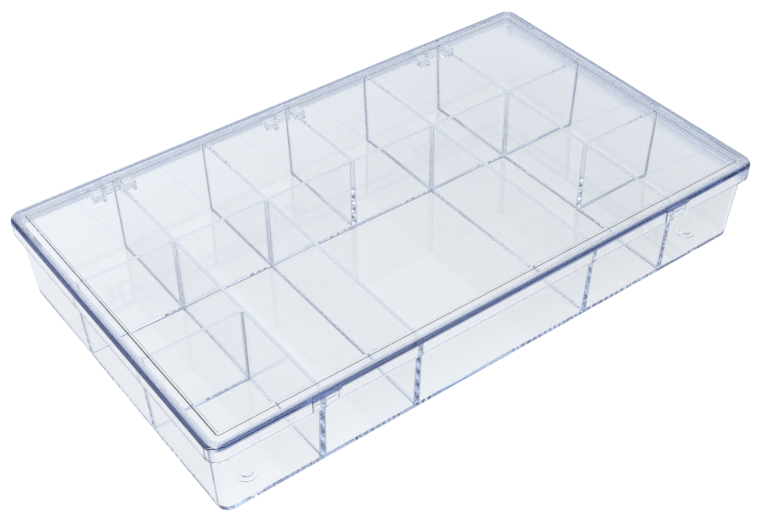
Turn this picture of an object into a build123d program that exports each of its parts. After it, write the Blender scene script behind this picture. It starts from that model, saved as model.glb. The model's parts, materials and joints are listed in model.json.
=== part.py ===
from build123d import *
import os

# Parts sorting tray: a shallow clear box with thirteen compartments under a lid
# that swings on three hinges along the rear edge and clicks shut on two tabs at
# the front. The tray and the lid are each one moulding; every wall, divider,
# rim and hinge part of a moulding is its own node and meets its neighbours face
# to face.
#
# Millimetres. X runs along the long side, Y from front to rear and Z up. The
# origin is the centre of the underside.

# ---- driving dimensions ----

LID_LENGTH = 278.0
LID_DEPTH = 166.0
TOTAL_HEIGHT = 41.5

# Lid
LID_PLATE = 1.5             # thickness of the lid's top
LID_SKIRT = 1.6             # thickness of the skirt that overlaps the tray
SKIRT_DROP = 8.6            # lid top to skirt bottom
LID_CORNER_RADIUS = 6.0
SHOULDER_RADIUS = 2.5       # rounding from the lid's top into its skirt
PANEL_LENGTH = 264.0
PANEL_DEPTH = 153.0
PANEL_RECESS = 0.8          # how far the panel lies below the rim round it

# Tray
TRAY_WALL = 1.8
TRAY_FLOOR = 1.8
FLOOR_EDGE_RADIUS = 1.2     # rounding of the bottom outer edge
SIDE_DRAFT = 2.1            # how much further in each wall stands at the bottom
TRAY_CORNER_RADIUS = 5.0
COLUMNS = 6
ROWS = 3
DIVIDER_TOP_WIDTH = 1.6
DIVIDER_FOOT_WIDTH = 2.2

# Clearances
SIDE_GAP = 0.45             # tray wall to skirt
LID_GAP = 0.5               # top of the tray wall to the rim above it
DIVIDER_GAP = 0.4           # top of a divider to the panel above it

# Hinges
HINGE_RADIUS = 2.3          # outer radius of ears and lugs
HINGE_BELOW_SKIRT = 0.4     # skirt bottom to the top of an ear
HINGE_BEHIND_LID = 1.95     # lid's rear face to the hinge axis
LUG_WIDTH = 8.8             # lid's lug between two ears
LUG_TOP_DROP = 2.5          # lid top to the top of a lug
LUG_TOP_PROUD = 1.3         # how far a lug's top stands out behind the skirt
EAR_GAP = 0.4               # lug to ear
EAR_WIDTH = 5.5
PIN_RADIUS = 1.1
PIN_CLEARANCE = 0.08
PIN_END_INSET = 0.5         # pin end to the ear's outer face

# Latches
TAB_WIDTH = 13.0
TAB_PROUD = 0.6             # tab's face in front of the skirt
TAB_BOTTOM_DROP = 7.8       # lid top to the tab's bottom
TAB_TOP_DROP = 1.3
CATCH_WIDTH = 10.0
CATCH_PROUD = 0.45
CATCH_HEIGHT = 2.0
CATCH_DROP = 5.4            # lid top to the top of a catch

# Low bosses on the floor of the two front corner compartments
BOSS_FOOT_RADIUS = 4.6
BOSS_TOP_RADIUS = 3.0
BOSS_HEIGHT = 1.2
BOSS_X = 118.0
BOSS_Y = -66.5

# ---- values worked out from them ----

LID_X = LID_LENGTH / 2
LID_Y = LID_DEPTH / 2
PANEL_X = PANEL_LENGTH / 2
PANEL_Y = PANEL_DEPTH / 2
SKIRT_BOTTOM = TOTAL_HEIGHT - SKIRT_DROP
RIM_UNDERSIDE = TOTAL_HEIGHT - LID_PLATE
TAB_BOTTOM = TOTAL_HEIGHT - TAB_BOTTOM_DROP
PANEL_TOP = TOTAL_HEIGHT - PANEL_RECESS
PANEL_UNDERSIDE = PANEL_TOP - LID_PLATE

WALL_TOP = RIM_UNDERSIDE - LID_GAP
DIVIDER_TOP = PANEL_UNDERSIDE - DIVIDER_GAP
TRAY_TOP_X = LID_X - LID_SKIRT - SIDE_GAP
TRAY_TOP_Y = LID_Y - LID_SKIRT - SIDE_GAP
CORNER_X = TRAY_TOP_X - SIDE_DRAFT - TRAY_CORNER_RADIUS
CORNER_Y = TRAY_TOP_Y - SIDE_DRAFT - TRAY_CORNER_RADIUS
CELL_LENGTH = 2 * (TRAY_TOP_X - TRAY_WALL) / COLUMNS
CELL_DEPTH = 2 * (TRAY_TOP_Y - TRAY_WALL) / ROWS
REAR_ROW_Y = CELL_DEPTH / 2
FRONT_ROW_Y = -CELL_DEPTH / 2

HINGE_Y = LID_Y + HINGE_BEHIND_LID
HINGE_Z = SKIRT_BOTTOM - HINGE_BELOW_SKIRT - HINGE_RADIUS
EAR_START = LUG_WIDTH / 2 + EAR_GAP
EAR_END = EAR_START + EAR_WIDTH

BEYOND = 400.0              # larger than the whole object, for cutting blocks


# ---- shapes used by both mouldings ----

def block(x_low, x_high, y_low, y_high, z_low, z_high):
    """A box between two corners."""
    middle = ((x_low + x_high) / 2, (y_low + y_high) / 2, (z_low + z_high) / 2)
    return Pos(*middle) * Box(x_high - x_low, y_high - y_low, z_high - z_low)


def rounded_prism(half_x, half_y, radius, z_low, z_high):
    """An upright prism with rounded corners."""
    outline = Plane.XY.offset(z_low) * RectangleRounded(2 * half_x, 2 * half_y, radius)
    return extrude(outline, z_high - z_low)


def side_profile(profile, x_low, x_high):
    """A shape drawn in Y and Z, drawn out along X."""
    return Pos(x_low, 0, 0) * extrude(Plane.YZ * profile, x_high - x_low)


def column_x(column):
    """Middle of the upright between two columns, counted from the left, 1 to 5."""
    return (column - COLUMNS / 2) * CELL_LENGTH


def frame_pieces(ring, half_x, half_y):
    """Cut a ring of wall into four straight sides and four corners."""
    names = {}
    names["front"] = ring & block(-half_x, half_x, -BEYOND, -half_y, -BEYOND, BEYOND)
    names["rear"] = ring & block(-half_x, half_x, half_y, BEYOND, -BEYOND, BEYOND)
    names["left"] = ring & block(-BEYOND, -half_x, -half_y, half_y, -BEYOND, BEYOND)
    names["right"] = ring & block(half_x, BEYOND, -half_y, half_y, -BEYOND, BEYOND)
    names["front_left"] = ring & block(-BEYOND, -half_x, -BEYOND, -half_y, -BEYOND, BEYOND)
    names["front_right"] = ring & block(half_x, BEYOND, -BEYOND, -half_y, -BEYOND, BEYOND)
    names["rear_left"] = ring & block(-BEYOND, -half_x, half_y, BEYOND, -BEYOND, BEYOND)
    names["rear_right"] = ring & block(half_x, BEYOND, half_y, BEYOND, -BEYOND, BEYOND)
    return names


# ---- tray ----

def tray_outline(z, inset=0.0):
    """The tray's rounded outline at a height; the walls lean in towards the bottom."""
    lean = SIDE_DRAFT * (WALL_TOP - z) / WALL_TOP
    half_x = TRAY_TOP_X - lean - inset
    half_y = TRAY_TOP_Y - lean - inset
    outline = RectangleRounded(2 * half_x, 2 * half_y, TRAY_CORNER_RADIUS - inset)
    return Plane.XY.offset(z) * outline


def tray_outer():
    """The solid that the tray's outer faces enclose."""
    return loft([tray_outline(0), tray_outline(WALL_TOP)], ruled=True)


def tray_cavity():
    """The hollow inside the tray's walls."""
    return loft([tray_outline(0, TRAY_WALL), tray_outline(WALL_TOP, TRAY_WALL)], ruled=True)


def tray_floor(outer):
    """The floor reaches out under the walls and has a rounded bottom edge."""
    floor = outer & block(-BEYOND, BEYOND, -BEYOND, BEYOND, 0, TRAY_FLOOR)
    bottom_edges = floor.faces().sort_by(Axis.Z)[0].edges()
    return fillet(bottom_edges, FLOOR_EDGE_RADIUS)


def tray_walls(outer, cavity):
    """Four straight walls and four corners that stand on the floor."""
    ring = (outer - cavity) & block(-BEYOND, BEYOND, -BEYOND, BEYOND, TRAY_FLOOR, WALL_TOP)
    return frame_pieces(ring, CORNER_X, CORNER_Y)


def divider(length, along, x=0.0, y=0.0):
    """A divider that is thicker at its foot, running along X or along Y."""
    height = DIVIDER_TOP - TRAY_FLOOR
    profile = Polygon(
        (-DIVIDER_FOOT_WIDTH / 2, 0),
        (DIVIDER_FOOT_WIDTH / 2, 0),
        (DIVIDER_TOP_WIDTH / 2, height),
        (-DIVIDER_TOP_WIDTH / 2, height),
        align=None,
    )
    bar = extrude(Plane.YZ * profile, length / 2, both=True)
    if along == "Y":
        bar = Rot(0, 0, 90) * bar
    return Pos(x, y, TRAY_FLOOR) * bar


def tray_dividers(cavity):
    """The row and column dividers, cut where they meet a wall or each other."""
    rear_row = divider(BEYOND, "X", y=REAR_ROW_Y) & cavity
    columns = {}
    for column in range(1, COLUMNS):
        upright = (divider(BEYOND, "Y", x=column_x(column)) & cavity) - rear_row
        if column == COLUMNS // 2:
            upright = upright & block(-BEYOND, BEYOND, REAR_ROW_Y, BEYOND, 0, BEYOND)
        columns[column] = upright
    front_row = divider(BEYOND, "X", y=FRONT_ROW_Y) & cavity
    left_row = front_row & block(-BEYOND, column_x(1), -BEYOND, BEYOND, 0, BEYOND)
    right_row = front_row & block(column_x(COLUMNS - 1), BEYOND, -BEYOND, BEYOND, 0, BEYOND)
    return rear_row, left_row - columns[1], right_row - columns[COLUMNS - 1], columns


def hinge_ears(x, outer):
    """Two ears behind the rear wall that hold the ends of a hinge pin."""
    arm_start = TRAY_TOP_Y - SIDE_DRAFT
    arm_middle = (arm_start + HINGE_Y) / 2
    arm = Pos(arm_middle, HINGE_Z) * Rectangle(HINGE_Y - arm_start, 2 * HINGE_RADIUS)
    eye = Pos(HINGE_Y, HINGE_Z) * Circle(HINGE_RADIUS)
    hole = Pos(HINGE_Y, HINGE_Z) * Circle(PIN_RADIUS + PIN_CLEARANCE)
    profile = arm + eye - hole
    left = side_profile(profile, x - EAR_END, x - EAR_START) - outer
    right = side_profile(profile, x + EAR_START, x + EAR_END) - outer
    return left + right


def front_catch(x, outer):
    """A low rounded ridge on the front wall that a latch tab closes over."""
    middle_z = TOTAL_HEIGHT - CATCH_DROP - CATCH_HEIGHT / 2
    lean = SIDE_DRAFT * (WALL_TOP - middle_z) / WALL_TOP
    face_y = -(TRAY_TOP_Y - lean)
    sagitta_radius = (CATCH_HEIGHT**2 / 4 + CATCH_PROUD**2) / (2 * CATCH_PROUD)
    ridge = Pos(face_y - CATCH_PROUD + sagitta_radius, middle_z) * Circle(sagitta_radius)
    return side_profile(ridge, x - CATCH_WIDTH / 2, x + CATCH_WIDTH / 2) - outer


def floor_boss(x):
    """A low boss on the floor, narrower at its top."""
    middle_z = TRAY_FLOOR + BOSS_HEIGHT / 2
    return Pos(x, BOSS_Y, middle_z) * Cone(BOSS_FOOT_RADIUS, BOSS_TOP_RADIUS, BOSS_HEIGHT)


# ---- lid ----

def lid_outer():
    """The solid that the lid's outer faces enclose, without tabs and lugs."""
    body = rounded_prism(LID_X, LID_Y, LID_CORNER_RADIUS, SKIRT_BOTTOM, TOTAL_HEIGHT)
    top_edges = body.faces().sort_by(Axis.Z)[-1].edges()
    return fillet(top_edges, SHOULDER_RADIUS)


def lid_hollow():
    """The space inside the lid's skirt and under its rim."""
    half_x = LID_X - LID_SKIRT
    half_y = LID_Y - LID_SKIRT
    corner_radius = LID_CORNER_RADIUS - LID_SKIRT
    hollow = rounded_prism(half_x, half_y, corner_radius, 0, RIM_UNDERSIDE)
    top_edges = hollow.faces().sort_by(Axis.Z)[-1].edges()
    return fillet(top_edges, SHOULDER_RADIUS - LID_PLATE)


def lid_panel():
    """The flat panel, a little lower than the rim round it."""
    return block(-PANEL_X, PANEL_X, -PANEL_Y, PANEL_Y, PANEL_UNDERSIDE, PANEL_TOP)


def lid_rims(outer):
    """The raised rim with its rounded shoulder, in four sides and four corners."""
    window = block(-PANEL_X, PANEL_X, -PANEL_Y, PANEL_Y, 0, BEYOND)
    above_skirt = block(-BEYOND, BEYOND, -BEYOND, BEYOND, RIM_UNDERSIDE, BEYOND)
    return frame_pieces((outer - window) & above_skirt, PANEL_X, PANEL_Y)


def lid_skirts(outer, hollow, latch_xs):
    """The skirt, with a notch in its front side for each latch tab."""
    below_rim = block(-BEYOND, BEYOND, -BEYOND, BEYOND, 0, RIM_UNDERSIDE)
    skirts = frame_pieces((outer - hollow) & below_rim, PANEL_X, PANEL_Y)
    for x in latch_xs:
        notch = block(x - TAB_WIDTH / 2, x + TAB_WIDTH / 2, -BEYOND, 0, TAB_BOTTOM, BEYOND)
        skirts["front"] = skirts["front"] - notch
    return skirts


def latch_tab(x, front_rim):
    """A stretch of skirt that stands proud and leaves room for the catch behind it."""
    face_y = -(LID_Y + TAB_PROUD)
    back_y = face_y + LID_SKIRT
    top_z = TOTAL_HEIGHT - TAB_TOP_DROP
    tab = block(x - TAB_WIDTH / 2, x + TAB_WIDTH / 2, face_y, back_y, TAB_BOTTOM, top_z)
    top_front = tab.edges().filter_by(Axis.X).group_by(Axis.Z)[-1].sort_by(Axis.Y)[0]
    return fillet(top_front, TAB_PROUD) - front_rim


def hinge_lug(x, outer):
    """A lug on the lid's rear face, rounded about the hinge axis at its end."""
    top_z = TOTAL_HEIGHT - LUG_TOP_DROP
    gusset = Polygon(
        (LID_Y, top_z),
        (HINGE_Y - HINGE_RADIUS, SKIRT_BOTTOM),
        (HINGE_Y - HINGE_RADIUS, HINGE_Z),
        (HINGE_Y + HINGE_RADIUS, HINGE_Z),
        (LID_Y + LUG_TOP_PROUD, top_z),
        align=None,
    )
    eye = Pos(HINGE_Y, HINGE_Z) * Circle(HINGE_RADIUS)
    return side_profile(gusset + eye, x - LUG_WIDTH / 2, x + LUG_WIDTH / 2) - outer


def hinge_pins(x):
    """The two short pins that stand out of a lug's sides."""
    length = EAR_END - PIN_END_INSET - LUG_WIDTH / 2
    pin = Pos(HINGE_Y, HINGE_Z) * Circle(PIN_RADIUS)
    left = side_profile(pin, x - LUG_WIDTH / 2 - length, x - LUG_WIDTH / 2)
    right = side_profile(pin, x + LUG_WIDTH / 2, x + LUG_WIDTH / 2 + length)
    return left + right


# ---- the whole object ----

def tray_nodes(hinge_xs, latch_xs):
    """Every node of the tray moulding, by name."""
    outer = tray_outer()
    cavity = tray_cavity()
    nodes = {"tray_floor": tray_floor(outer)}
    for side, wall in tray_walls(outer, cavity).items():
        kind = "corner" if "_" in side else "wall"
        nodes[f"tray_{side}_{kind}"] = wall
    rear_row, left_row, right_row, columns = tray_dividers(cavity)
    nodes["rear_row_divider"] = rear_row
    nodes["left_row_divider"] = left_row
    nodes["right_row_divider"] = right_row
    for column, upright in columns.items():
        nodes[f"column_divider_{column}"] = upright
    for place, x in hinge_xs.items():
        nodes[f"hinge_ears_{place}"] = hinge_ears(x, outer)
    for place, x in latch_xs.items():
        nodes[f"front_catch_{place}"] = front_catch(x, outer)
    nodes["floor_boss_left"] = floor_boss(-BOSS_X)
    nodes["floor_boss_right"] = floor_boss(BOSS_X)
    return nodes


def lid_nodes(hinge_xs, latch_xs):
    """Every node of the lid moulding, by name."""
    outer = lid_outer()
    hollow = lid_hollow()
    nodes = {"lid_panel": lid_panel()}
    rims = lid_rims(outer)
    for side, rim in rims.items():
        kind = "rim_corner" if "_" in side else "rim"
        nodes[f"lid_{side}_{kind}"] = rim
    for side, skirt in lid_skirts(outer, hollow, latch_xs.values()).items():
        kind = "skirt_corner" if "_" in side else "skirt"
        nodes[f"lid_{side}_{kind}"] = skirt
    for place, x in latch_xs.items():
        nodes[f"latch_tab_{place}"] = latch_tab(x, rims["front"])
    for place, x in hinge_xs.items():
        nodes[f"hinge_lug_{place}"] = hinge_lug(x, outer)
        nodes[f"hinge_pins_{place}"] = hinge_pins(x)
    return nodes


def main():
    last_column = COLUMNS - 1
    hinge_xs = {"left": column_x(1), "centre": 0.0, "right": column_x(last_column)}
    latch_xs = {"left": column_x(1), "right": column_x(last_column)}
    nodes = tray_nodes(hinge_xs, latch_xs) | lid_nodes(hinge_xs, latch_xs)
    os.makedirs("parts", exist_ok=True)
    for name, shape in nodes.items():
        export_step(Compound(list(shape.solids())), f"parts/{name}.step")


main()
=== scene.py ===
import json
from collections import namedtuple
from itertools import pairwise
from math import copysign, cos, pi, radians, sin

import bmesh
import bpy
from mathutils import Euler, Matrix, Vector
from mathutils.geometry import delaunay_2d_cdt


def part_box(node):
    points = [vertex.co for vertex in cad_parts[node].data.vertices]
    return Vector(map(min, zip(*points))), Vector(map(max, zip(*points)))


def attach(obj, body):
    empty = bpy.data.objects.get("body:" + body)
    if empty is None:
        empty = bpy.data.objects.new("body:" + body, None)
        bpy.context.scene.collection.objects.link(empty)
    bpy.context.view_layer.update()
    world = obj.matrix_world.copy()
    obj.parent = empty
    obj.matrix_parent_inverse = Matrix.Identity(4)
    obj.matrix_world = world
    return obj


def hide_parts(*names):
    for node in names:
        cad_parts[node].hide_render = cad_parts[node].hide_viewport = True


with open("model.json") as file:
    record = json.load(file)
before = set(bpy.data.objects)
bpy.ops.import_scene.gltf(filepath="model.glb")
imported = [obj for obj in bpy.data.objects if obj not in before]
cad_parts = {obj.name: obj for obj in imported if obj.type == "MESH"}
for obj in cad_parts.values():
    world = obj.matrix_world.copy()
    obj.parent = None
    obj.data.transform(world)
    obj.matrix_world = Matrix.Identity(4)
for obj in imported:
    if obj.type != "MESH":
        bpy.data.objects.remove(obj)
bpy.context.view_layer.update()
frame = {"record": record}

# The object is two clear mouldings. Each is shown as one closed mesh, so that no
# inner faces show where the CAD nodes of a moulding meet. Metres, in the CAD's frame.

MM = 0.001
CORNER_STEPS = 10           # segments in each rounded corner seen from above
ROUND_STEPS = 5             # segments in each rounded edge
BEVEL_STEPS = 3             # segments in each bevelled edge of a small feature
CIRCLE_STEPS = 32
BOSS_STEPS = 48
ROUNDED_ABOVE = radians(40)  # a small feature's edges that bend more are rounded
CREASED_ABOVE = radians(32)  # edges that bend more are shaded as corners
SMALLEST_RADIUS = 0.05 * MM
SAME_POINT = 0.001 * MM     # points nearer to each other than this are one point
BURIED = 0.8 * MM           # how far a feature reaches into the wall it is joined to

Sides = namedtuple("Sides", "left right front rear")


# ---- sizes read from the CAD nodes ----

def low(node):
    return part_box(node)[0]


def high(node):
    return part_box(node)[1]


def middle(node):
    return (low(node) + high(node)) / 2


def nodes_of(body):
    return frame["record"]["behaviour"]["bodies"][body]


HINGES = [n for n in nodes_of("tray") if n.startswith("hinge_ears_")]
LUGS = [n for n in nodes_of("lid") if n.startswith("hinge_lug_")]
PINS = [n for n in nodes_of("lid") if n.startswith("hinge_pins_")]
TABS = [n for n in nodes_of("lid") if n.startswith("latch_tab_")]
CATCHES = [n for n in nodes_of("tray") if n.startswith("front_catch_")]
BOSSES = [n for n in nodes_of("tray") if n.startswith("floor_boss_")]
COLUMNS = sorted(n for n in nodes_of("tray") if n.startswith("column_divider_"))

LID_TOP = high("lid_front_rim").z
RIM_UNDERSIDE = low("lid_front_rim").z
SKIRT_BOTTOM = low("lid_front_skirt").z
LID_SIDES = Sides(
    low("lid_left_skirt").x,
    high("lid_right_skirt").x,
    low("lid_front_skirt").y,
    high("lid_rear_skirt").y,
)
PANEL_LOW, PANEL_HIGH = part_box("lid_panel")
PANEL_SIDES = Sides(PANEL_LOW.x, PANEL_HIGH.x, PANEL_LOW.y, PANEL_HIGH.y)

FLOOR_TOP = high("tray_floor").z
WALL_TOP = high("tray_front_wall").z
DIVIDER_TOP = high("rear_row_divider").z
TRAY_SIDES = Sides(
    low("tray_left_wall").x,
    high("tray_right_wall").x,
    low("tray_front_wall").y,
    high("tray_rear_wall").y,
)
WALL_LEAN = (high("tray_rear_wall").y - high("tray_floor").y) / (WALL_TOP - FLOOR_TOP)

HINGE_AXIS = middle(PINS[0]).yz
PIN_RADIUS = (high(PINS[0]).z - low(PINS[0]).z) / 2
EYE_RADIUS = (high(HINGES[0]).z - low(HINGES[0]).z) / 2

# ---- sizes the CAD boxes don't show ----

LID_CORNER_RADIUS = 6.0 * MM
SHOULDER_RADIUS = 2.5 * MM
SHOULDER_STEPS = 8
SKIRT_WALL = 1.6 * MM
SKIRT_INNER_RADIUS = 0.15 * MM
STEP_SLOPE = 0.6 * MM       # how far the step from rim to panel leans inwards
STEP_WALL = 1.0 * MM        # how far the underside's step lies outside the top's
EDGE_RADIUS = 0.25 * MM     # rounding of every moulded edge that isn't wider
TAB_EDGE_RADIUS = 0.35 * MM
POCKET_EDGE_RADIUS = 0.1 * MM
POCKET_SIDE_WALL = 1.0 * MM
LUG_TOP_DEPTH = 1.3 * MM    # how far the lug's top reaches out from the lid's rear face
PIN_EDGE_RADIUS = 0.2 * MM

TRAY_CORNER_RADIUS = 5.0 * MM
TRAY_WALL = 1.8 * MM
TRAY_BOTTOM_RADIUS = 1.2 * MM
CELL_LEDGE = 0.3 * MM       # how far a cell's wall stands inside the wall's upper part
CELL_CORNER_RADIUS = 0.9 * MM
CELL_FLOOR_RADIUS = 0.7 * MM
DIVIDER_TOP_WIDTH = 1.6 * MM
DIVIDER_EDGE_RADIUS = 0.2 * MM
EAR_GAP = 0.4 * MM
PIN_CLEARANCE = 0.08 * MM
BOSS_LEDGE = 1.9 * MM       # width of the boss's lower step
BOSS_LEDGE_HEIGHT = 0.4     # where that step is, as a share of the boss's height
CATCH_HALF_ARC = 25         # degrees

# ---- plastic ----

IOR_POLYSTYRENE = 1.59
CLEAR = (1.0, 1.0, 1.0)
SHOULDER_PAINTED_REFLECTION = (0.07, 0.11, 0.34)  # painted reflection: stands in for dark surroundings seen in the edge
SHADOW_TINT = (0.99, 0.992, 0.997)
ABSORPTION_TINT = (0.0, 0.3, 0.8)
ABSORPTION_DENSITY = 4.0
MOST_HAZE = 0.03            # roughness in the deepest scratches
WAVE_DEPTH = 0.5 * MM
LIGHT_BOUNCES = 64          # enough to see through every wall

# ---- stage ----

FLOOR_DROP = 0.2 * MM       # how far the floor lies under the tray's feet
FLOOR_REACH = 10.0
WHITE = (1.0, 1.0, 1.0)
GROUND_FADE = 140 * MM      # painted light falloff: the ground's glow darkens to the right over twice this width
GROUND_LEFT = (0.78, 0.80, 0.83)
GROUND_RIGHT = (0.61, 0.64, 0.67)
GROUND_IN_FRONT = (1.08, 1.09, 1.1)
# painted shade: a dark strip in the ground's glow, standing in for dark surroundings
GROUND_STRIP = (0.34, 0.41, 0.54)
GROUND_FAR = (0.64, 0.69, 0.76)
GROUND_OUTSIDE = (0.015, 0.035, 0.14)
FRONT_START = -60 * MM      # the ground brightens between these two places in Y
FRONT_END = -130 * MM

# How far outside each side of the lid the strip and the far ground start, and over
# what width they blend in. There is no strip in front.
STRIP_OUT = Sides(left=23 * MM, right=29 * MM, front=None, rear=38 * MM)
STRIP_BLEND = 8 * MM
FAR_OUT = Sides(left=66 * MM, right=61 * MM, front=117 * MM, rear=67 * MM)
FAR_BLEND = Sides(left=15 * MM, right=15 * MM, front=100 * MM, rear=15 * MM)
OUTSIDE_START = 450 * MM    # distances from the tray's middle
OUTSIDE_END = 500 * MM

HORIZON = (0.5, 0.55, 0.64)
UPPER_WALLS = (0.25, 0.3, 0.42)
HORIZON_TOP = 0.08          # sines of the elevations between which the horizon fades
WALLS_START = 0.22
BRIGHT_PANEL = (1.15, 1.18, 1.22)
LEFT_DARK_PANEL = (0.005, 0.015, 0.08)
RIGHT_DARK_PANEL = (0.02, 0.04, 0.14)
PANEL_BLEND = 8             # degrees

# Azimuths run from +Y towards +X, in degrees, and a panel's reach is half its width.
Panel = namedtuple("Panel", "azimuth elevation reach tone")
PANELS = (
    Panel(36, 41, 31, BRIGHT_PANEL),
    Panel(-42, 38, 38, LEFT_DARK_PANEL),
    Panel(142, 42, 28, RIGHT_DARK_PANEL),
    Panel(-144, 41, 36, BRIGHT_PANEL),
)


# ---- mesh building ----

def outline(sides, radii, z, inset=0.0):
    """Points round a rectangle with rounded corners, moved in by inset."""
    points = []
    for corner, (sx, sy) in enumerate(((1, 1), (-1, 1), (-1, -1), (1, -1))):
        radius = max(radii[corner] - inset, SMALLEST_RADIUS)
        centre_x = (sides.right if sx > 0 else sides.left) - sx * (inset + radius)
        centre_y = (sides.rear if sy > 0 else sides.front) - sy * (inset + radius)
        for step in range(CORNER_STEPS + 1):
            angle = (corner + step / CORNER_STEPS) * pi / 2
            points.append((centre_x + radius * cos(angle), centre_y + radius * sin(angle), z))
    return points


def quarter(radius, steps=ROUND_STEPS):
    """(across, along) for each point of a quarter circle that starts across an edge."""
    angles = [step / steps * pi / 2 for step in range(steps + 1)]
    return [(radius * (1 - cos(a)), radius * sin(a)) for a in angles]


def add_loop(mesh, points):
    return [mesh.verts.new(point) for point in points]


def join_loops(mesh, first, second):
    """Quads between two loops with the same number of points."""
    for here in range(len(first)):
        after = (here + 1) % len(first)
        mesh.faces.new((first[here], first[after], second[after], second[here]))


def add_stack(mesh, outlines):
    """A skin through several outlines. Returns its first and last loop."""
    loops = [add_loop(mesh, points) for points in outlines]
    for first, second in pairwise(loops):
        join_loops(mesh, first, second)
    return loops[0], loops[-1]


def to_object(mesh, name):
    """A Blender object from a finished bmesh, with its normals outward."""
    bmesh.ops.recalc_face_normals(mesh, faces=mesh.faces)
    data = bpy.data.meshes.new(name)
    mesh.to_mesh(data)
    mesh.free()
    made = bpy.data.objects.new(name, data)
    bpy.context.scene.collection.objects.link(made)
    return made


def round_edges(mesh, radius):
    """Round every sharp edge."""
    edges = [edge for edge in mesh.edges if edge.calc_face_angle(0) > ROUNDED_ABOVE]
    bmesh.ops.bevel(
        mesh, geom=edges, offset=radius, offset_type="OFFSET", segments=BEVEL_STEPS,
        profile=0.5, affect="EDGES", clamp_overlap=True,
    )


def profile_prism(name, profile, x_low, x_high, radius=EDGE_RADIUS):
    """A closed bar with a profile drawn in Y and Z, with rounded edges."""
    mesh = bmesh.new()
    start = add_loop(mesh, [(x_low, y, z) for y, z in profile])
    end = add_loop(mesh, [(x_high, y, z) for y, z in profile])
    join_loops(mesh, start, end)
    mesh.faces.new(start)
    mesh.faces.new(end)
    bmesh.ops.recalc_face_normals(mesh, faces=mesh.faces)
    round_edges(mesh, radius)
    return to_object(mesh, name)


def arc(centre, radius, start, end, steps=16):
    """Points in Y and Z on an arc, with angles in degrees from +Y towards +Z."""
    angles = [radians(start + (end - start) * step / steps) for step in range(steps + 1)]
    return [(centre[0] + radius * cos(a), centre[1] + radius * sin(a)) for a in angles]


def combine(target, tool, operation):
    """Join a tool to a target, or cut it out, and throw the tool away."""
    modifier = target.modifiers.new("combine", "BOOLEAN")
    modifier.object = tool
    modifier.operation = operation
    modifier.solver = "EXACT"
    graph = bpy.context.evaluated_depsgraph_get()
    result = bpy.data.meshes.new_from_object(target.evaluated_get(graph))
    target.modifiers.clear()
    target.data = result
    bpy.data.objects.remove(tool)


def smooth(obj):
    """Smooth shading on rounded edges that leaves the flat faces flat."""
    obj.data.polygons.foreach_set("use_smooth", [True] * len(obj.data.polygons))
    obj.data.set_sharp_from_angle(angle=CREASED_ABOVE)
    weighted = obj.modifiers.new("flat faces stay flat", "WEIGHTED_NORMAL")
    weighted.keep_sharp = True
    weighted.weight = 100


# ---- tray ----

def leaning(sides, z):
    """Sides of the tray's outer faces at a height."""
    lean = WALL_LEAN * (WALL_TOP - z)
    return Sides(sides.left + lean, sides.right - lean, sides.front + lean, sides.rear - lean)


def tray_shell(mesh):
    """The outer skin, over the wall's top and down to the level of the divider tops."""
    radii = [TRAY_CORNER_RADIUS] * 4
    bottom_edge = quarter(TRAY_BOTTOM_RADIUS)
    top_edge = quarter(EDGE_RADIUS)
    inner = TRAY_WALL - CELL_LEDGE
    levels = [(TRAY_BOTTOM_RADIUS - along, across) for across, along in reversed(bottom_edge)]
    levels += [(WALL_TOP - EDGE_RADIUS + along, across) for across, along in top_edge]
    levels += [
        (WALL_TOP - EDGE_RADIUS + along, inner - across) for across, along in reversed(top_edge)
    ]
    levels.append((DIVIDER_TOP, inner))
    stack = [outline(leaning(TRAY_SIDES, z), radii, z, inset) for z, inset in levels]
    bottom, ledge = add_stack(mesh, stack)
    mesh.faces.new(bottom)
    return ledge


def cell_sides(cell, z):
    """Inner faces of a cell at a height: dividers widen and walls lean in downwards."""
    walls = leaning(TRAY_SIDES, z)
    foot = (high(COLUMNS[0]).x - low(COLUMNS[0]).x) / 2
    share = (DIVIDER_TOP - z) / (DIVIDER_TOP - FLOOR_TOP)
    half = DIVIDER_TOP_WIDTH / 2 + (foot - DIVIDER_TOP_WIDTH / 2) * share
    return Sides(
        walls.left + TRAY_WALL if cell.left is None else cell.left + half,
        walls.right - TRAY_WALL if cell.right is None else cell.right - half,
        walls.front + TRAY_WALL if cell.front is None else cell.front + half,
        walls.rear - TRAY_WALL if cell.rear is None else cell.rear - half,
    )


def cell_radii(cell):
    """Corner radii of a cell: wide where two outer walls meet."""
    wall_corners = (
        (cell.right, cell.rear),
        (cell.left, cell.rear),
        (cell.left, cell.front),
        (cell.right, cell.front),
    )
    wide = TRAY_CORNER_RADIUS - TRAY_WALL
    return [wide if pair == (None, None) else CELL_CORNER_RADIUS for pair in wall_corners]


def cell_pocket(mesh, cell):
    """The skin of one compartment, from its rounded rim to its floor."""
    levels = [
        (DIVIDER_TOP - along, across - DIVIDER_EDGE_RADIUS)
        for along, across in quarter(DIVIDER_EDGE_RADIUS)
    ]
    levels += [
        (FLOOR_TOP + CELL_FLOOR_RADIUS - along, across)
        for across, along in quarter(CELL_FLOOR_RADIUS)
    ]
    radii = cell_radii(cell)
    stack = [outline(cell_sides(cell, z), radii, z, inset) for z, inset in levels]
    rim, floor = add_stack(mesh, stack)
    mesh.faces.new(floor)
    return rim


def tray_cells():
    """The dividers on each side of every cell; None stands for an outer wall."""
    columns = [None] + [middle(name).x for name in COLUMNS] + [None]
    rear_row = middle("rear_row_divider").y
    front_row = middle("left_row_divider").y
    cells = [Sides(left, right, rear_row, None) for left, right in pairwise(columns)]
    for left, right in ((None, columns[1]), (columns[-2], None)):
        cells.append(Sides(left, right, front_row, rear_row))
        cells.append(Sides(left, right, None, front_row))
    cells.append(Sides(columns[1], columns[2], None, rear_row))
    cells.append(Sides(columns[2], columns[4], None, rear_row))
    cells.append(Sides(columns[4], columns[5], None, rear_row))
    return cells


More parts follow.
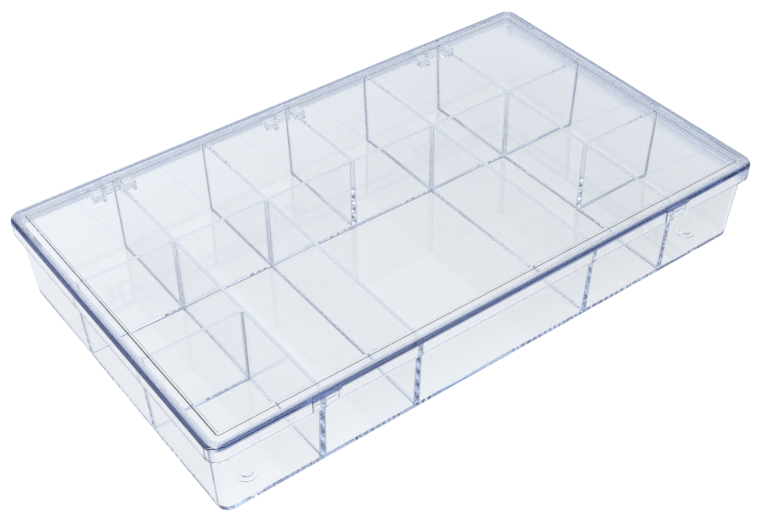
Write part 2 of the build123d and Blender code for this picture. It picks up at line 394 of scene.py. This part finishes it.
def add_divider_tops(mesh, ledge, rims):
    """The flat face between the outer wall and all cell rims, at the divider tops."""
    corners = []
    loops = []
    for loop in [ledge, *rims]:
        loops.append(list(range(len(corners), len(corners) + len(loop))))
        corners += loop
    flat = [corner.co.xy for corner in corners]
    _, _, triangles, sources, _, owners = delaunay_2d_cdt(flat, [], loops, 1, SAME_POINT)
    for triangle, owner in zip(triangles, owners):
        if owner == [0]:
            mesh.faces.new([corners[sources[point][0]] for point in triangle])


def hinge_ear(name, x_low, x_high):
    """One ear: an arm out of the rear wall that ends in an eye round the pin."""
    wall_y = leaning(TRAY_SIDES, HINGE_AXIS[1]).rear - BURIED
    profile = [(wall_y, HINGE_AXIS[1] + EYE_RADIUS), (wall_y, HINGE_AXIS[1] - EYE_RADIUS)]
    profile += arc(HINGE_AXIS, EYE_RADIUS, -90, 90)
    ear = profile_prism(name, profile, x_low, x_high)
    hole = arc(HINGE_AXIS, PIN_RADIUS + PIN_CLEARANCE, 0, 360, CIRCLE_STEPS)[:-1]
    combine(ear, profile_prism("hole", hole, x_low - MM, x_high + MM, 0.0), "DIFFERENCE")
    return ear


def front_catch(node):
    """The low ridge behind a latch tab."""
    first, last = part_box(node)
    height = last.z - first.z
    centre_z = (first.z + last.z) / 2
    proud = last.y - first.y
    radius = (height**2 / 4 + proud**2) / (2 * proud)
    centre = (first.y + radius, centre_z)
    profile = arc(centre, radius, 180 - CATCH_HALF_ARC, 180 + CATCH_HALF_ARC)
    back = last.y + BURIED / 2
    profile += [(back, profile[-1][1]), (back, profile[0][1])]
    return profile_prism(node, profile, first.x, last.x)


def circle(centre, radius, z):
    """Points on a level circle."""
    angles = [step / BOSS_STEPS * 2 * pi for step in range(BOSS_STEPS)]
    return [(centre.x + radius * cos(a), centre.y + radius * sin(a), z) for a in angles]


def floor_boss(node):
    """A low round boss with a step part of the way up."""
    first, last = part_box(node)
    foot_radius = (last.x - first.x) / 2
    top_radius = foot_radius - BOSS_LEDGE
    height = last.z - FLOOR_TOP
    ledge = BOSS_LEDGE_HEIGHT * height
    levels = [
        (-BURIED, foot_radius), (ledge, foot_radius), (ledge, top_radius), (height, top_radius)
    ]
    mesh = bmesh.new()
    centre = middle(node)
    rings = [circle(centre, radius, FLOOR_TOP + rise) for rise, radius in levels]
    bottom, top = add_stack(mesh, rings)
    mesh.faces.new(bottom)
    mesh.faces.new(top)
    round_edges(mesh, EDGE_RADIUS)
    return to_object(mesh, node)


def tray_moulding():
    """The tray with its cells, and the ears, catches and bosses moulded on."""
    mesh = bmesh.new()
    ledge = tray_shell(mesh)
    rims = [cell_pocket(mesh, cell) for cell in tray_cells()]
    add_divider_tops(mesh, ledge, rims)
    tray = to_object(mesh, "tray_moulding")
    for node in HINGES:
        first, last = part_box(node)
        gap = (high(LUGS[0]).x - low(LUGS[0]).x) / 2 + EAR_GAP
        centre = (first.x + last.x) / 2
        combine(tray, hinge_ear(node, first.x, centre - gap), "UNION")
        combine(tray, hinge_ear(node, centre + gap, last.x), "UNION")
    for node in CATCHES:
        combine(tray, front_catch(node), "UNION")
    for node in BOSSES:
        combine(tray, floor_boss(node), "UNION")
    return tray


# ---- lid ----

def lid_shell():
    """The lid's skin, from the panel's top out over the rim and back under the panel."""
    corners = [LID_CORNER_RADIUS] * 4
    tight = [2 * EDGE_RADIUS] * 4
    panel_top = PANEL_HIGH.z
    panel_under = PANEL_LOW.z
    edge = quarter(EDGE_RADIUS, BEVEL_STEPS)
    levels = [(PANEL_SIDES, tight, panel_top, STEP_SLOPE)]
    levels += [
        (PANEL_SIDES, tight, LID_TOP - across, EDGE_RADIUS - along) for across, along in edge
    ]
    levels += [
        (LID_SIDES, corners, LID_TOP - SHOULDER_RADIUS + along, across)
        for across, along in reversed(quarter(SHOULDER_RADIUS, SHOULDER_STEPS))
    ]
    levels += [
        (LID_SIDES, corners, SKIRT_BOTTOM + EDGE_RADIUS - along, across)
        for across, along in edge
    ]
    levels += [
        (LID_SIDES, corners, SKIRT_BOTTOM + EDGE_RADIUS - along, SKIRT_WALL - across)
        for across, along in reversed(edge)
    ]
    levels += [
        (LID_SIDES, corners, RIM_UNDERSIDE - SKIRT_INNER_RADIUS + along, SKIRT_WALL + across)
        for across, along in quarter(SKIRT_INNER_RADIUS)
    ]
    levels.append((PANEL_SIDES, tight, RIM_UNDERSIDE, -STEP_WALL))
    levels.append((PANEL_SIDES, tight, panel_under, STEP_SLOPE - STEP_WALL))
    mesh = bmesh.new()
    stack = [outline(sides, radii, z, inset) for sides, radii, z, inset in levels]
    top, under = add_stack(mesh, stack)
    mesh.faces.new(top)
    mesh.faces.new(under)
    return to_object(mesh, "lid_moulding")


def bar(name, sides, z_low, z_high, radius):
    """A rectangular bar with rounded edges."""
    profile = [
        (sides.front, z_low), (sides.rear, z_low), (sides.rear, z_high), (sides.front, z_high)
    ]
    return profile_prism(name, profile, sides.left, sides.right, radius)


def latch_pocket(node):
    """The hollow behind a latch tab that makes room for the catch."""
    first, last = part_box(node)
    sides = Sides(
        first.x + POCKET_SIDE_WALL,
        last.x - POCKET_SIDE_WALL,
        first.y + SKIRT_WALL,
        LID_SIDES.front + SKIRT_WALL + BURIED,
    )
    top = RIM_UNDERSIDE - SKIRT_INNER_RADIUS
    return bar("pocket", sides, first.z + EDGE_RADIUS, top, POCKET_EDGE_RADIUS)


def latch_tab(node):
    """The pad that stands proud of the skirt."""
    first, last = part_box(node)
    sides = Sides(first.x, last.x, first.y, LID_SIDES.front + BURIED / 2)
    return bar(node, sides, first.z, last.z, TAB_EDGE_RADIUS)


def hinge_lug(node):
    """The lug on the lid's rear face, rounded about the hinge axis."""
    first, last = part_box(node)
    profile = [(LID_SIDES.rear + LUG_TOP_DEPTH, last.z), (first.y, last.z)]
    profile += arc(HINGE_AXIS, EYE_RADIUS, 180, 360)
    return profile_prism(node, profile, first.x, last.x)


def hinge_pin(node):
    """One round bar through the lug, with an end in each ear."""
    first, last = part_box(node)
    profile = arc(HINGE_AXIS, PIN_RADIUS, 0, 360, CIRCLE_STEPS)[:-1]
    return profile_prism(node, profile, first.x, last.x, PIN_EDGE_RADIUS)


def lid_moulding():
    """The lid with its latch tabs, and its lugs and pins."""
    lid = lid_shell()
    for node in TABS:
        combine(lid, latch_pocket(node), "DIFFERENCE")
        combine(lid, latch_tab(node), "UNION")
    for node in LUGS + PINS:
        make = hinge_lug if node in LUGS else hinge_pin
        combine(lid, make(node), "UNION")
    return lid


# ---- shader nodes ----

def mix_colours(tree, factor, first, second):
    """The first colour where factor is 0, the second where it is 1."""
    mix = tree.nodes.new("ShaderNodeMix")
    mix.data_type = "RGBA"
    tree.links.new(factor, mix.inputs[0])
    for socket, colour in ((mix.inputs[6], first), (mix.inputs[7], second)):
        if isinstance(colour, tuple):
            socket.default_value = (*colour, 1)
        else:
            tree.links.new(colour, socket)
    return mix.outputs[2]


def ramp_between(tree, value, start, end):
    """0 at start, 1 at end, straight in between."""
    ramp = tree.nodes.new("ShaderNodeMapRange")
    ramp.inputs["From Min"].default_value = start
    ramp.inputs["From Max"].default_value = end
    tree.links.new(value, ramp.inputs["Value"])
    return ramp.outputs["Result"]


def both(tree, first, second):
    """1 where both masks are 1."""
    inside = tree.nodes.new("ShaderNodeMath")
    inside.operation = "MULTIPLY"
    tree.links.new(first, inside.inputs[0])
    tree.links.new(second, inside.inputs[1])
    return inside.outputs[0]


def vector_step(tree, operation, vector, other=None):
    """The vector after one operation with a fixed other vector."""
    step = tree.nodes.new("ShaderNodeVectorMath")
    step.operation = operation
    tree.links.new(vector, step.inputs[0])
    if other is not None:
        step.inputs[1].default_value = other
    return step.outputs[0]


def split_vector(tree, vector):
    """The vector's X, Y and Z."""
    split = tree.nodes.new("ShaderNodeSeparateXYZ")
    tree.links.new(vector, split.inputs[0])
    return split.outputs


def noise(tree, position, scale):
    """A noise texture's node."""
    texture = tree.nodes.new("ShaderNodeTexNoise")
    texture.inputs["Scale"].default_value = scale
    tree.links.new(position, texture.inputs["Vector"])
    return texture


# ---- material ----

def painted_shoulder_reflection(tree, position):
    """Painted reflection: navy in the lid's thick rounded shoulder, standing in for dark
    surroundings seen in the edge, and clear everywhere else.
    """
    centre = Vector((LID_SIDES.left + LID_SIDES.right, LID_SIDES.front + LID_SIDES.rear, 0)) / 2
    half = Vector((LID_SIDES.right - LID_SIDES.left, LID_SIDES.rear - LID_SIDES.front, 0)) / 2
    from_centre = vector_step(tree, "SUBTRACT", position, centre)
    either_side = vector_step(tree, "ABSOLUTE", from_centre)
    x, y, z = split_vector(tree, vector_step(tree, "SUBTRACT", either_side, half))
    past_side = tree.nodes.new("ShaderNodeMath")
    past_side.operation = "MAXIMUM"
    tree.links.new(x, past_side.inputs[0])
    tree.links.new(y, past_side.inputs[1])
    inner_edge = -0.75 * SHOULDER_RADIUS
    full_navy = -0.3 * SHOULDER_RADIUS
    outer = ramp_between(tree, past_side.outputs[0], inner_edge, full_navy)
    lower_edge = LID_TOP - 1.2 * SHOULDER_RADIUS
    full_height = LID_TOP - 0.9 * SHOULDER_RADIUS
    upper = ramp_between(tree, z, lower_edge, full_height)
    return mix_colours(tree, both(tree, outer, upper), CLEAR, SHOULDER_PAINTED_REFLECTION)


def scratch_roughness(tree, position):
    """Fine scratches, all in one direction: smooth, with a little haze in the deepest."""
    stretch = tree.nodes.new("ShaderNodeMapping")
    stretch.inputs["Scale"].default_value = (0.12, 1.0, 1.0)
    stretch.inputs["Rotation"].default_value = (0, 0, radians(23))
    tree.links.new(position, stretch.inputs["Vector"])
    scratches = noise(tree, stretch.outputs["Vector"], scale=900)
    scratches.inputs["Detail"].default_value = 6
    haze = tree.nodes.new("ShaderNodeMapRange")
    haze.inputs["From Min"].default_value = 0.55
    haze.inputs["From Max"].default_value = 0.8
    haze.inputs["To Min"].default_value = 0.0
    haze.inputs["To Max"].default_value = MOST_HAZE
    tree.links.new(scratches.outputs["Fac"], haze.inputs["Value"])
    return haze.outputs["Result"]


def moulding_waves(tree, position):
    """The normal of a surface with faint waves from the mould."""
    waves = noise(tree, position, scale=40)
    bump = tree.nodes.new("ShaderNodeBump")
    bump.inputs["Strength"].default_value = 0.02
    bump.inputs["Distance"].default_value = WAVE_DEPTH
    tree.links.new(waves.outputs["Fac"], bump.inputs["Height"])
    return bump.outputs["Normal"]


def open_to_light(tree, surface):
    """The surface, which lets shadow rays straight through."""
    opening = tree.nodes.new("ShaderNodeBsdfTransparent")
    opening.inputs["Color"].default_value = (*SHADOW_TINT, 1)
    path = tree.nodes.new("ShaderNodeLightPath")
    mix = tree.nodes.new("ShaderNodeMixShader")
    tree.links.new(path.outputs["Is Shadow Ray"], mix.inputs["Fac"])
    tree.links.new(surface, mix.inputs[1])
    tree.links.new(opening.outputs["BSDF"], mix.inputs[2])
    return mix.outputs["Shader"]


def clear_polystyrene(name, painted_reflection=None):
    """Clear plastic with waves, scratches and a cool cast where light travels far in it, and a
    painted reflection in the base colour where one is given.
    """
    material = bpy.data.materials.new(name)
    material.use_nodes = True
    tree = material.node_tree
    shader = tree.nodes["Principled BSDF"]
    shader.inputs["Transmission Weight"].default_value = 1.0
    shader.inputs["IOR"].default_value = IOR_POLYSTYRENE
    shader.inputs["Base Color"].default_value = (*CLEAR, 1)
    position = tree.nodes.new("ShaderNodeTexCoord").outputs["Object"]
    tree.links.new(scratch_roughness(tree, position), shader.inputs["Roughness"])
    tree.links.new(moulding_waves(tree, position), shader.inputs["Normal"])
    # painted reflection: a navy stand-in for dark surroundings, painted into the base colour
    if painted_reflection is not None:
        tree.links.new(painted_reflection(tree, position), shader.inputs["Base Color"])
    absorb = tree.nodes.new("ShaderNodeVolumeAbsorption")
    absorb.inputs["Color"].default_value = (*ABSORPTION_TINT, 1)
    absorb.inputs["Density"].default_value = ABSORPTION_DENSITY
    output = tree.nodes["Material Output"]
    tree.links.new(open_to_light(tree, shader.outputs["BSDF"]), output.inputs["Surface"])
    tree.links.new(absorb.outputs["Volume"], output.inputs["Volume"])
    return material


# ---- studio ----

def white_to_camera(tree, tone):
    """White behind the object, while the plastic sees the tone."""
    path = tree.nodes.new("ShaderNodeLightPath")
    return mix_colours(tree, path.outputs["Is Camera Ray"], tone, WHITE)


def past_line(tree, along, side, out, blend):
    """0 up to a line that lies out from one side of the lid, 1 once past its blend."""
    sign = copysign(1, side)
    return ramp_between(tree, along, side + sign * out, side + sign * (out + blend))


def ground_tone(tree):
    """Painted glow standing in for studio light and shade: lit ground round the tray that
    darkens to the right and brightens in front, a dark strip beyond it, then pale ground and a
    navy outside.
    """
    place = tree.nodes.new("ShaderNodeTexCoord")
    x, y, _ = split_vector(tree, place.outputs["Object"])
    across = ramp_between(tree, x, -GROUND_FADE, GROUND_FADE)
    tone = mix_colours(tree, across, GROUND_LEFT, GROUND_RIGHT)
    in_front = ramp_between(tree, y, FRONT_START, FRONT_END)
    tone = mix_colours(tree, in_front, tone, GROUND_IN_FRONT)
    lines = Sides(x, x, y, y)
    for along, side, out in zip(lines, LID_SIDES, STRIP_OUT):
        if out is not None:
            strip = past_line(tree, along, side, out, STRIP_BLEND)
            tone = mix_colours(tree, strip, tone, GROUND_STRIP)
    for along, side, out, blend in zip(lines, LID_SIDES, FAR_OUT, FAR_BLEND):
        tone = mix_colours(tree, past_line(tree, along, side, out, blend), tone, GROUND_FAR)
    for along in (x, y):
        for sign in (1, -1):
            outside = ramp_between(tree, along, sign * OUTSIDE_START, sign * OUTSIDE_END)
            tone = mix_colours(tree, outside, tone, GROUND_OUTSIDE)
    return tone


def pale_floor():
    """A pale, self-lit table."""
    mesh = bmesh.new()
    corners = [(-1, -1), (1, -1), (1, 1), (-1, 1)]
    points = [(x * FLOOR_REACH, y * FLOOR_REACH, -FLOOR_DROP) for x, y in corners]
    mesh.faces.new(add_loop(mesh, points))
    floor = to_object(mesh, "floor")
    material = bpy.data.materials.new("pale_floor")
    material.use_nodes = True
    tree = material.node_tree
    shader = tree.nodes["Principled BSDF"]
    shader.inputs["Base Color"].default_value = (0.15, 0.15, 0.15, 1)
    shader.inputs["Roughness"].default_value = 0.9
    shader.inputs["Specular IOR Level"].default_value = 0.0
    shader.inputs["Emission Strength"].default_value = 1.0
    seen = white_to_camera(tree, ground_tone(tree))
    tree.links.new(seen, shader.inputs["Emission Color"])
    floor.data.materials.append(material)


def direction(azimuth, elevation):
    """A unit vector; azimuth in degrees from +Y towards +X."""
    turn = radians(azimuth)
    rise = radians(elevation)
    return Vector((sin(turn) * cos(rise), cos(turn) * cos(rise), sin(rise)))


def panel_mask(tree, view, panel):
    """1 towards the panel, fading to 0 at its edge."""
    towards = tree.nodes.new("ShaderNodeVectorMath")
    towards.operation = "DOT_PRODUCT"
    towards.inputs[1].default_value = direction(panel.azimuth, panel.elevation)
    tree.links.new(view, towards.inputs[0])
    rim = cos(radians(panel.reach))
    inside = cos(radians(panel.reach - PANEL_BLEND))
    return ramp_between(tree, towards.outputs["Value"], rim, inside)


def studio_world():
    """Grey-blue walls over a paler horizon, with two bright and two dark panels."""
    world = bpy.data.worlds.new("studio")
    bpy.context.scene.world = world
    world.use_nodes = True
    tree = world.node_tree
    view = tree.nodes.new("ShaderNodeTexCoord").outputs["Generated"]
    height = split_vector(tree, view)[2]
    tone = mix_colours(
        tree, ramp_between(tree, height, HORIZON_TOP, WALLS_START), HORIZON, UPPER_WALLS
    )
    for panel in PANELS:
        tone = mix_colours(tree, panel_mask(tree, view, panel), tone, panel.tone)
    background = tree.nodes["Background"]
    background.inputs["Strength"].default_value = 1.0
    tree.links.new(white_to_camera(tree, tone), background.inputs["Color"])


def overhead_light():
    """A very wide soft light from above and a little behind."""
    light = bpy.data.lights.new("overhead", "SUN")
    light.angle = radians(50)
    light.energy = 0.2
    lamp = bpy.data.objects.new("overhead", light)
    lamp.rotation_euler = (radians(-12), radians(8), 0)
    bpy.context.scene.collection.objects.link(lamp)


def camera():
    """Looks at a point on the lid's top plane, left of and in front of its middle."""
    aim = Vector((-31.8 * MM, -39.4 * MM, LID_TOP))
    distance = 536.8 * MM
    elevation = radians(40.84)
    azimuth = radians(36.27)
    roll = radians(-0.69)
    sensor_width = 36       # these two are in millimetres
    focal_length = 62.95
    lens = bpy.data.cameras.new("camera")
    lens.sensor_width = sensor_width
    lens.lens = focal_length
    lens.clip_start = 10 * MM
    holder = bpy.data.objects.new("camera", lens)
    facing = Euler((pi / 2 - elevation, 0, -azimuth)).to_matrix()
    turn = facing @ Matrix.Rotation(roll, 3, "Z")
    holder.rotation_euler = turn.to_euler()
    holder.location = aim + turn @ Vector((0, 0, distance))
    bpy.context.scene.collection.objects.link(holder)
    bpy.context.scene.camera = holder


def clear_light_paths():
    """Enough bounces to see through every wall, and straight shadows through plastic."""
    cycles = bpy.context.scene.cycles
    cycles.max_bounces = LIGHT_BOUNCES
    cycles.transmission_bounces = LIGHT_BOUNCES
    cycles.transparent_max_bounces = LIGHT_BOUNCES
    cycles.glossy_bounces = LIGHT_BOUNCES
    cycles.caustics_refractive = False
    cycles.caustics_reflective = False
    bpy.context.scene.view_settings.view_transform = "Standard"


def finish_moulding(moulding, body, material):
    """Give a moulding its material and its body, in place of that body's CAD nodes."""
    moulding.data.materials.clear()
    moulding.data.materials.append(material)
    smooth(moulding)
    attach(moulding, body)
    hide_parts(*nodes_of(body))


finish_moulding(tray_moulding(), "tray", clear_polystyrene("tray_plastic"))
# the lid's shoulder gets a painted reflection of dark surroundings in its colour
finish_moulding(lid_moulding(), "lid", clear_polystyrene("lid_plastic", painted_shoulder_reflection))
pale_floor()
studio_world()
overhead_light()
camera()
clear_light_paths()
